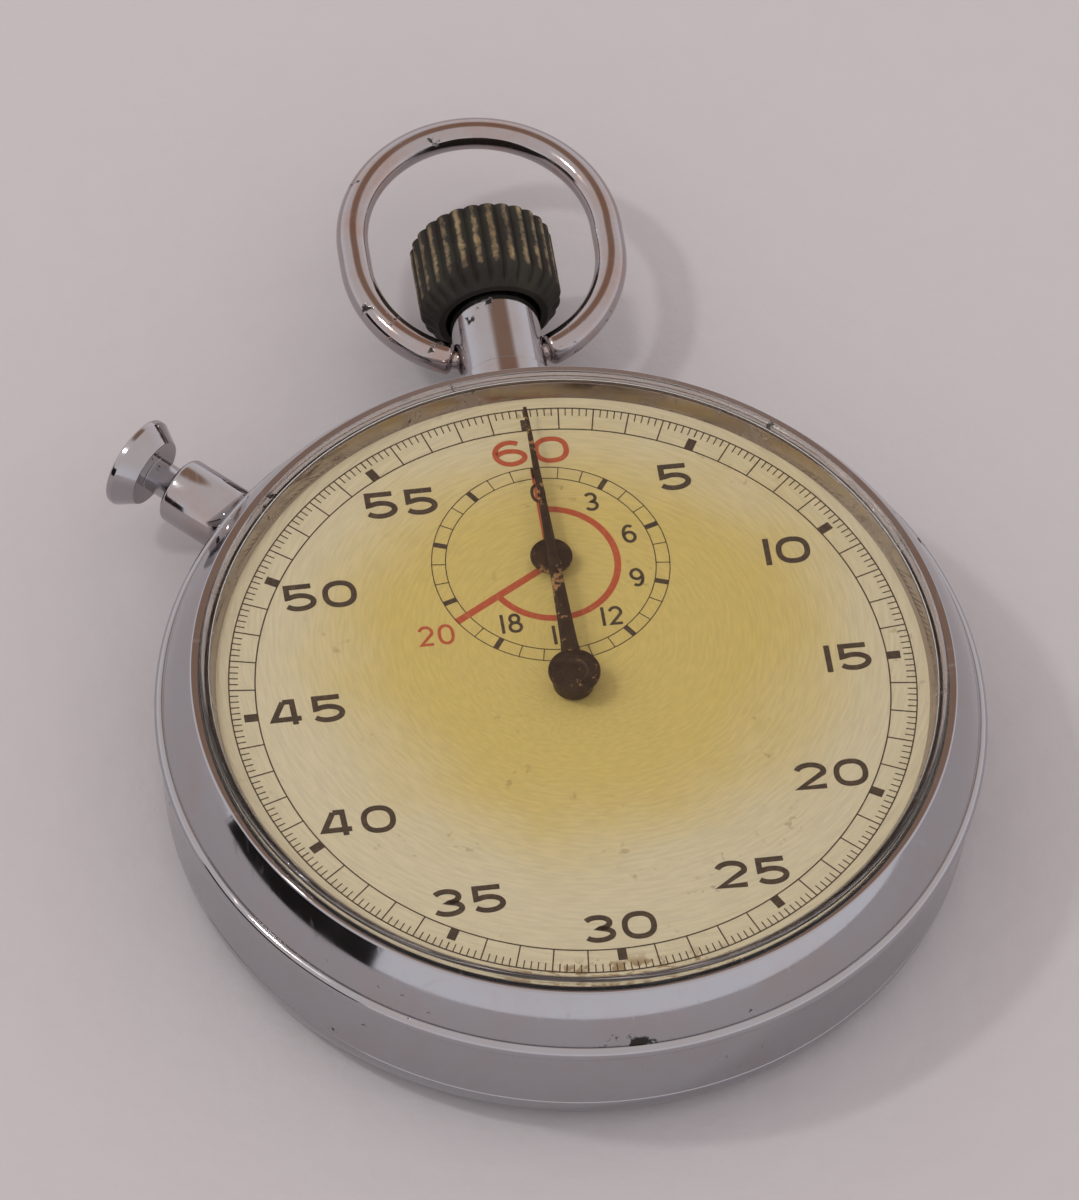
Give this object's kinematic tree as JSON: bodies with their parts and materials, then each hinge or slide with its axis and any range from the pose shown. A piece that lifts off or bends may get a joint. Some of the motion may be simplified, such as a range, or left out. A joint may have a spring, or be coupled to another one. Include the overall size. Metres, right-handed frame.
{
  "type": "mechanical stopwatch",
  "caption": "Round hand stopwatch: chromed case, domed crystal, seconds dial with minute counter, winding crown inside a hinged bow, side reset pusher and a full lever movement.",
  "frame": {"origin": "centre of the back cover's flat resting face, on the sweep hand's axis", "axes": "+Z out of the dial, +Y to the crown and bow, +X to the dial's 15 mark"},
  "size_m": [0.0513, 0.0725, 0.014],
  "materials": {
    "chrome_case": "polished chromium plate with a brushed flank, scratched",
    "chrome_bezel": "polished chromium plate, pitted at the foot",
    "chrome_bow": "polished chromium plate worn to brown at its edges",
    "chrome_pusher": "polished chromium plate",
    "chrome_inner": "plated inner rim",
    "worn_crown": "tarnished, brass showing on the ridges",
    "crystal": "clear acrylic",
    "dial_face": "silvered dial, aged to cream, with printed numbers",
    "dark_hand": "oxidised dark steel",
    "gilt_plate": "grained gilt",
    "brass": "turned brass",
    "steel": "polished steel",
    "blued_steel": "blued steel"
  },
  "bodies": {
    "root": {"case_middle": "chrome_case", "back_cover": "chrome_case", "bezel": "chrome_bezel", "crystal": "crystal", "rehaut_ring": "chrome_inner", "pendant_neck": "chrome_case", "pusher_tube": "chrome_case", "pusher_bush": "steel", "main_plate": "gilt_plate", "dial_spacer_ring": "brass", "dial": "dial_face", "train_bridge": "gilt_plate", "barrel_bridge": "gilt_plate", "pallet_cock": "gilt_plate", "balance_cock": "gilt_plate", "dial_side_bridge": "gilt_plate", "bridge_screws": "blued_steel", "dial_bridge_screws": "blued_steel", "click_spring": "steel", "hammer_spring": "steel", "lever_spring": "steel", "column_jumper": "steel", "crown_spring": "steel", "pusher_spring": "steel", "hairspring": "blued_steel"},
    "press_sleeve": {"stem_collar": "steel"},
    "crown": {"crown": "worn_crown", "winding_stem": "steel"},
    "winding_pinion": {"winding_pinion": "steel"},
    "crown_wheel": {"crown_wheel": "steel"},
    "ratchet": {"ratchet_wheel": "steel", "barrel_arbor": "steel"},
    "click": {"click": "steel"},
    "barrel": {"barrel_drum": "brass", "barrel_cover": "brass", "mainspring": "blued_steel"},
    "third_wheel": {"third_wheel": "brass"},
    "sweep": {"sweep_arbor": "steel", "fourth_wheel": "brass", "sweep_heart": "steel", "sweep_hand": "dark_hand"},
    "escape_wheel": {"escape_pinion": "steel", "escape_wheel": "steel"},
    "pallet_fork": {"pallet_fork": "steel"},
    "balance": {"balance_wheel": "brass", "balance_staff": "steel"},
    "regulator": {"regulator_index": "steel"},
    "minute_idler": {"minute_idler": "brass"},
    "minute_counter": {"minute_wheel": "brass", "minute_arbor": "steel", "minute_heart": "steel", "minute_hand": "dark_hand"},
    "reset_hammer": {"reset_hammer": "steel"},
    "side_pusher": {"side_pusher": "chrome_pusher"},
    "operating_lever": {"operating_lever": "steel"},
    "column_wheel": {"column_wheel": "steel"},
    "brake_lever": {"brake_lever": "steel"},
    "bow": {"bow": "chrome_bow"}
  },
  "joints": [
    {"name": "crown_press", "type": "slide", "parent": "root", "child": "press_sleeve", "axis": [0, -1, 0], "range_m": [0, 0.0012], "stiffness_N_per_m": 500, "springref_m": -0.001, "deforming": ["crown_spring", "lever_spring"]},
    {"name": "crown_spin", "type": "hinge", "parent": "press_sleeve", "child": "crown", "pos_m": [0, 0.034, 0.0062], "axis": [0, 1, 0], "continuous": true},
    {"name": "winding_pinion_spin", "type": "hinge", "parent": "root", "child": "winding_pinion", "pos_m": [0, 0.0178, 0.0062], "axis": [0, 1, 0], "continuous": true},
    {"name": "crown_wheel_spin", "type": "hinge", "parent": "root", "child": "crown_wheel", "pos_m": [0, 0.0125, 0.0039], "axis": [0, 0, 1], "continuous": true},
    {"name": "ratchet_spin", "type": "hinge", "parent": "root", "child": "ratchet", "pos_m": [0.01009, 0.00961, 0.004], "axis": [0, 0, 1], "continuous": true},
    {"name": "click_swing", "type": "hinge", "parent": "root", "child": "click", "pos_m": [0.01389, 0.01619, 0.0038], "axis": [0, 0, 1], "range_deg": [-5, 0], "stiffness_Nm_per_rad": 0.002, "springref_deg": 2.86, "deforming": ["click_spring"]},
    {"name": "sweep_spin", "type": "hinge", "parent": "root", "child": "sweep", "pos_m": [0, 0, 0.006], "axis": [0, 0, 1], "continuous": true},
    {"name": "third_spin", "type": "hinge", "parent": "root", "child": "third_wheel", "pos_m": [0.0054, 0.00262, 0.004], "axis": [0, 0, 1], "continuous": true},
    {"name": "barrel_spin", "type": "hinge", "parent": "root", "child": "barrel", "pos_m": [0.01009, 0.00961, 0.0055], "axis": [0, 0, 1], "continuous": true},
    {"name": "escape_spin", "type": "hinge", "parent": "root", "child": "escape_wheel", "pos_m": [-0.00442, -0.00371, 0.004], "axis": [0, 0, 1], "continuous": true},
    {"name": "fork_swing", "type": "hinge", "parent": "root", "child": "pallet_fork", "pos_m": [-0.008, -0.00385, 0.0043], "axis": [0, 0, 1], "range_deg": [-5, 5]},
    {"name": "balance_swing", "type": "hinge", "parent": "root", "child": "balance", "pos_m": [-0.0125, -0.004, 0.003], "axis": [0, 0, 1], "range_deg": [-250, 250], "stiffness_Nm_per_rad": 0.000001, "deforming": ["hairspring"]},
    {"name": "regulator_swing", "type": "hinge", "parent": "root", "child": "regulator", "pos_m": [-0.0125, -0.004, 0.0009], "axis": [0, 0, 1], "range_deg": [-20, 20]},
    {"name": "minute_idler_spin", "type": "hinge", "parent": "root", "child": "minute_idler", "pos_m": [-0.00154, 0.00455, 0.008], "axis": [0, 0, 1], "continuous": true},
    {"name": "minute_spin", "type": "hinge", "parent": "root", "child": "minute_counter", "pos_m": [0, 0.0092, 0.008], "axis": [0, 0, 1], "continuous": true},
    {"name": "side_push", "type": "slide", "parent": "root", "child": "side_pusher", "axis": [0.7071, -0.7071, 0], "range_m": [0, 0.0013], "stiffness_N_per_m": 500, "springref_m": -0.001, "deforming": ["pusher_spring", "hammer_spring"]},
    {"name": "hammer_swing", "type": "hinge", "parent": "root", "child": "reset_hammer", "pos_m": [-0.0177, 0.0099, 0.0088], "axis": [0, 0, 1], "range_deg": [-14, 0]},
    {"name": "lever_swing", "type": "hinge", "parent": "root", "child": "operating_lever", "pos_m": [0.009, 0.0147, 0.0078], "axis": [0, 0, 1], "range_deg": [0, 8]},
    {"name": "column_turn", "type": "hinge", "parent": "root", "child": "column_wheel", "pos_m": [0.0145, 0.006, 0.008], "axis": [0, 0, 1], "continuous": true},
    {"name": "brake_swing", "type": "hinge", "parent": "root", "child": "brake_lever", "pos_m": [0, -0.013, 0.0078], "axis": [0, 0, 1], "range_deg": [-1.4, 2.2]},
    {"name": "bow_swing", "type": "hinge", "parent": "root", "child": "bow", "pos_m": [0, 0.0291, 0.0062], "axis": [1, 0, 0], "range_deg": [-100, 100]}
  ],
  "couplings": [
    {"joint": "winding_pinion_spin", "follows": "crown_spin", "ratio": 1},
    {"joint": "crown_wheel_spin", "follows": "crown_spin", "ratio": 0.4},
    {"joint": "ratchet_spin", "follows": "crown_spin", "ratio": -0.36364},
    {"joint": "third_spin", "follows": "sweep_spin", "ratio": -0.11111},
    {"joint": "barrel_spin", "follows": "sweep_spin", "ratio": 0.011111},
    {"joint": "escape_spin", "follows": "sweep_spin", "ratio": -10},
    {"joint": "minute_idler_spin", "follows": "sweep_spin", "ratio": -0.2},
    {"joint": "minute_spin", "follows": "sweep_spin", "ratio": 0.033333},
    {"joint": "hammer_swing", "follows": "side_push", "rad_per_m": -180.8},
    {"joint": "lever_swing", "follows": "crown_press", "rad_per_m": 111.11}
  ]
}
